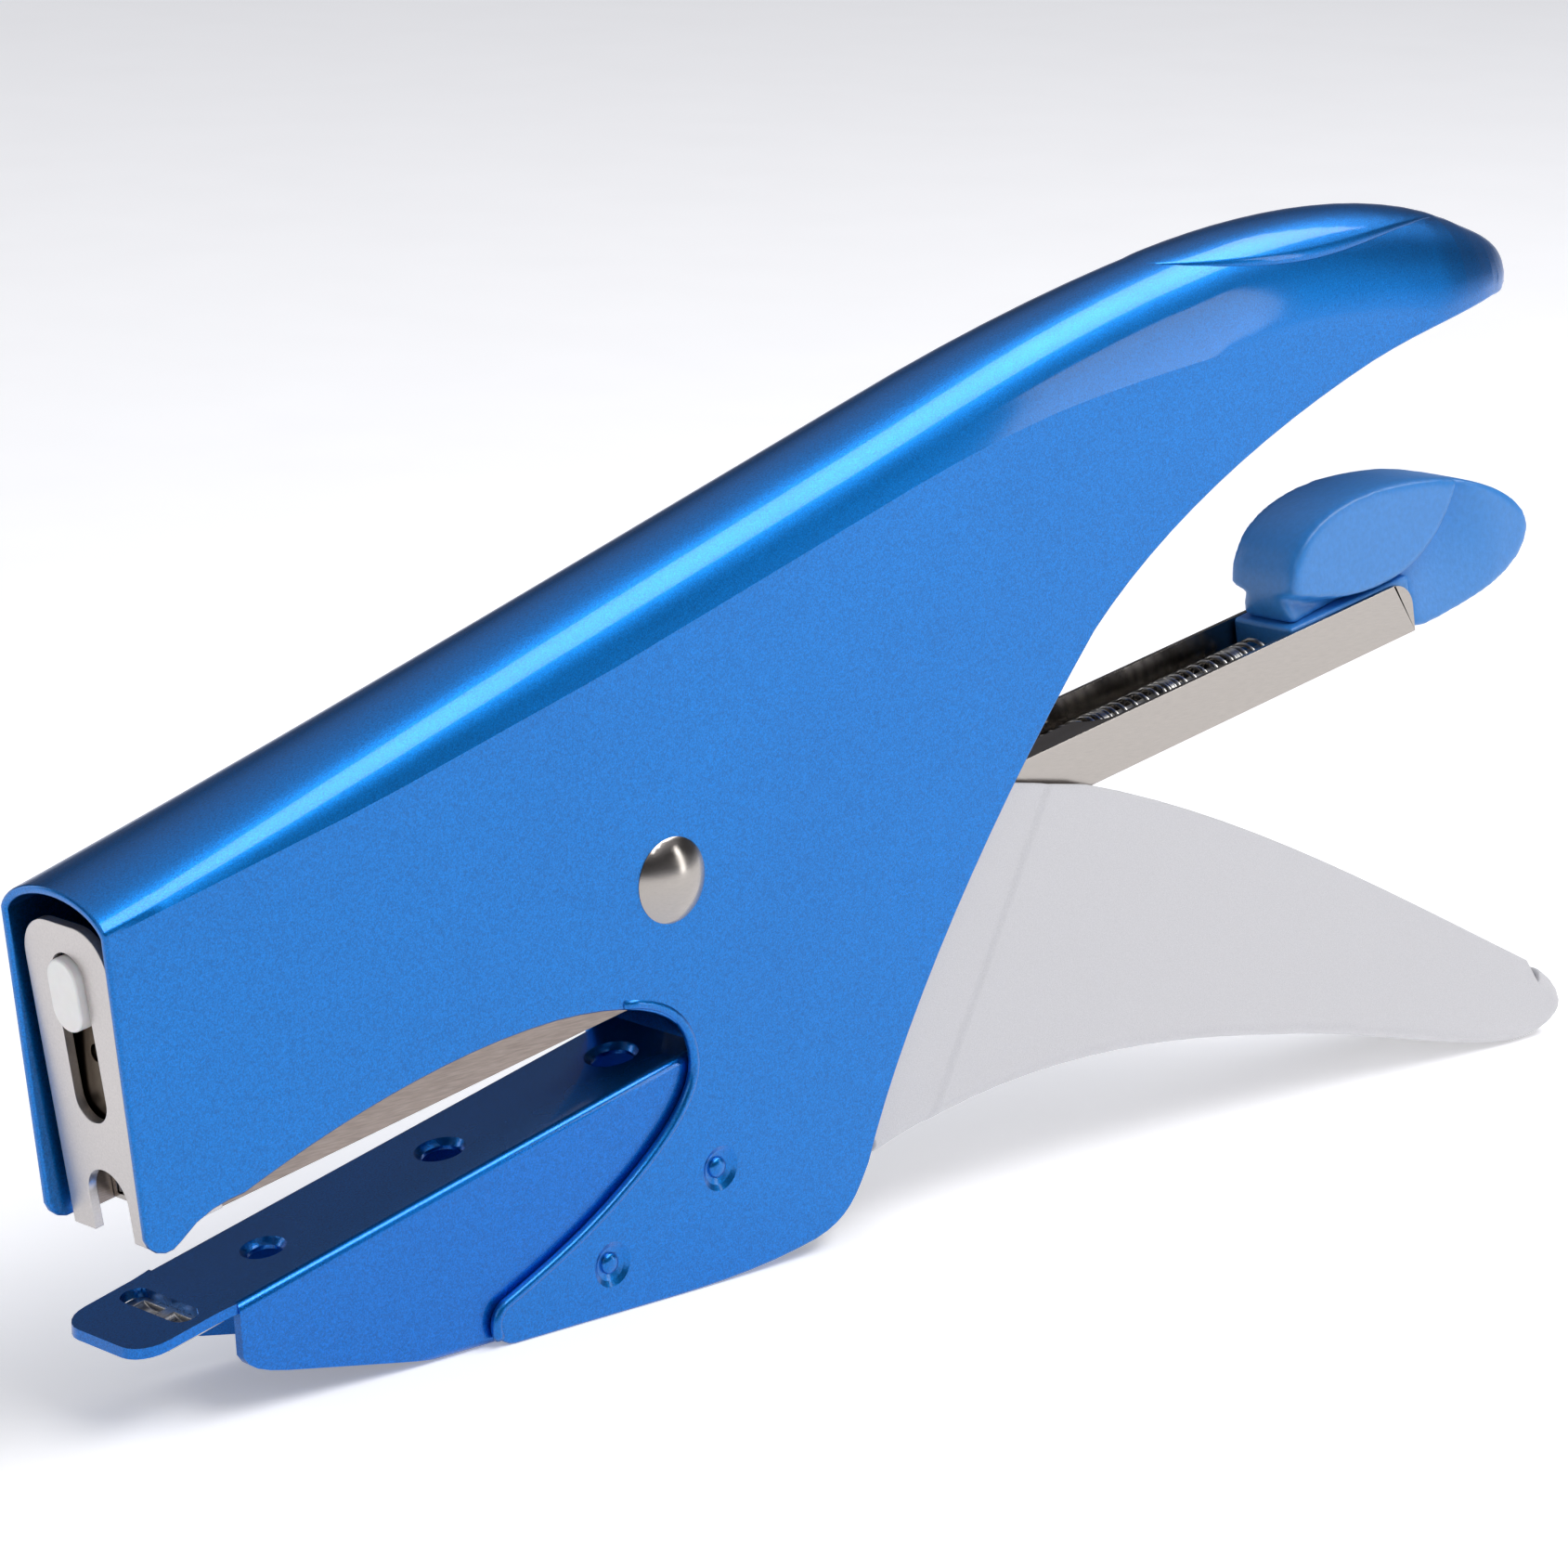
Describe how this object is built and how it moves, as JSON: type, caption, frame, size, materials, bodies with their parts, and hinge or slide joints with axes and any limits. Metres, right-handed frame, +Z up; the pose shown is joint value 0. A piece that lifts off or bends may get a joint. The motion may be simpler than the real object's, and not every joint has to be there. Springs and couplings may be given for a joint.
{
  "type": "stapling pliers",
  "caption": "Hand-held stapling pliers: blue sheet-metal C frame with upper handle and lower jaw, grey squeeze lever, swinging magazine with spring-fed staples and a pull-out loading knob.",
  "frame": {"origin": "middle of the bounding box on the table, with the pliers standing on the lower jaw and the lever's tip as in the picture", "axes": "+Z up, +X from the jaws towards the handles, +Y across the body; the front view shows the -Y side"},
  "size_m": [0.2034, 0.0184, 0.0962],
  "materials": {
    "blue_paint": "metallic blue lacquer, glossy",
    "jaw_paint": "glossy darker blue lacquer",
    "steel": "plain steel",
    "nickel": "nickel plated, satin to bright",
    "spring_wire": "drawn spring wire",
    "handle_grey": "matte pale grey paint with a fine grain",
    "inner_frame": "plated sheet, warm grey",
    "nose": "satin plated",
    "dark_steel": "dark oiled steel",
    "staples": "galvanised wire",
    "nylon": "white nylon",
    "grip_blue": "satin blue plastic"
  },
  "bodies": {
    "root": {"body_shell": "blue_paint", "anvil_arm": "jaw_paint", "anvil_insert": "steel", "clinch_studs": "blue_paint", "main_rivet": "nickel", "pivot_bush": "nickel", "pivot_washers": "nickel", "stop_pin": "steel", "spring_pin": "steel", "return_spring": "spring_wire"},
    "lever": {"lower_handle": "handle_grey", "driver_arm": "inner_frame", "arm_pins": "steel", "blade_rivets": "steel", "driver_blade": "dark_steel", "driver_guide": "nylon"},
    "magazine": {"magazine_holder": "inner_frame", "holder_bridge": "inner_frame", "nose_plate": "nose", "nose_rivets": "steel", "magazine_channel": "nickel", "staple_rail": "dark_steel", "staple_strip": "staples", "clamp_spring": "spring_wire"},
    "loader": {"guide_rod": "steel", "rod_collar": "steel", "loading_knob": "grip_blue", "pusher_spring": "spring_wire"},
    "pusher": {"staple_pusher": "dark_steel"}
  },
  "joints": [
    {"name": "lever_swing", "type": "hinge", "parent": "root", "child": "lever", "pos_m": [-0.0352, 0, 0.0415], "axis": [0, -1, 0], "range_deg": [0, 14], "stiffness_Nm_per_rad": 1.2, "springref_deg": -20.05, "deforming": ["return_spring", "clamp_spring"]},
    {"name": "magazine_swing", "type": "hinge", "parent": "root", "child": "magazine", "pos_m": [-0.0352, 0, 0.0415], "axis": [0, -1, 0], "range_deg": [0, 7]},
    {"name": "loader_slide", "type": "slide", "parent": "magazine", "child": "loader", "axis": [0.9842, 0, 0.1771], "range_m": [0, 0.09]},
    {"name": "pusher_slide", "type": "slide", "parent": "loader", "child": "pusher", "axis": [0.9842, 0, 0.1771], "range_m": [0, 0.03], "stiffness_N_per_m": 15, "springref_m": -0.05, "deforming": ["pusher_spring"]}
  ],
  "couplings": [
    {"joint": "magazine_swing", "follows": "lever_swing", "ratio": 0.5}
  ]
}
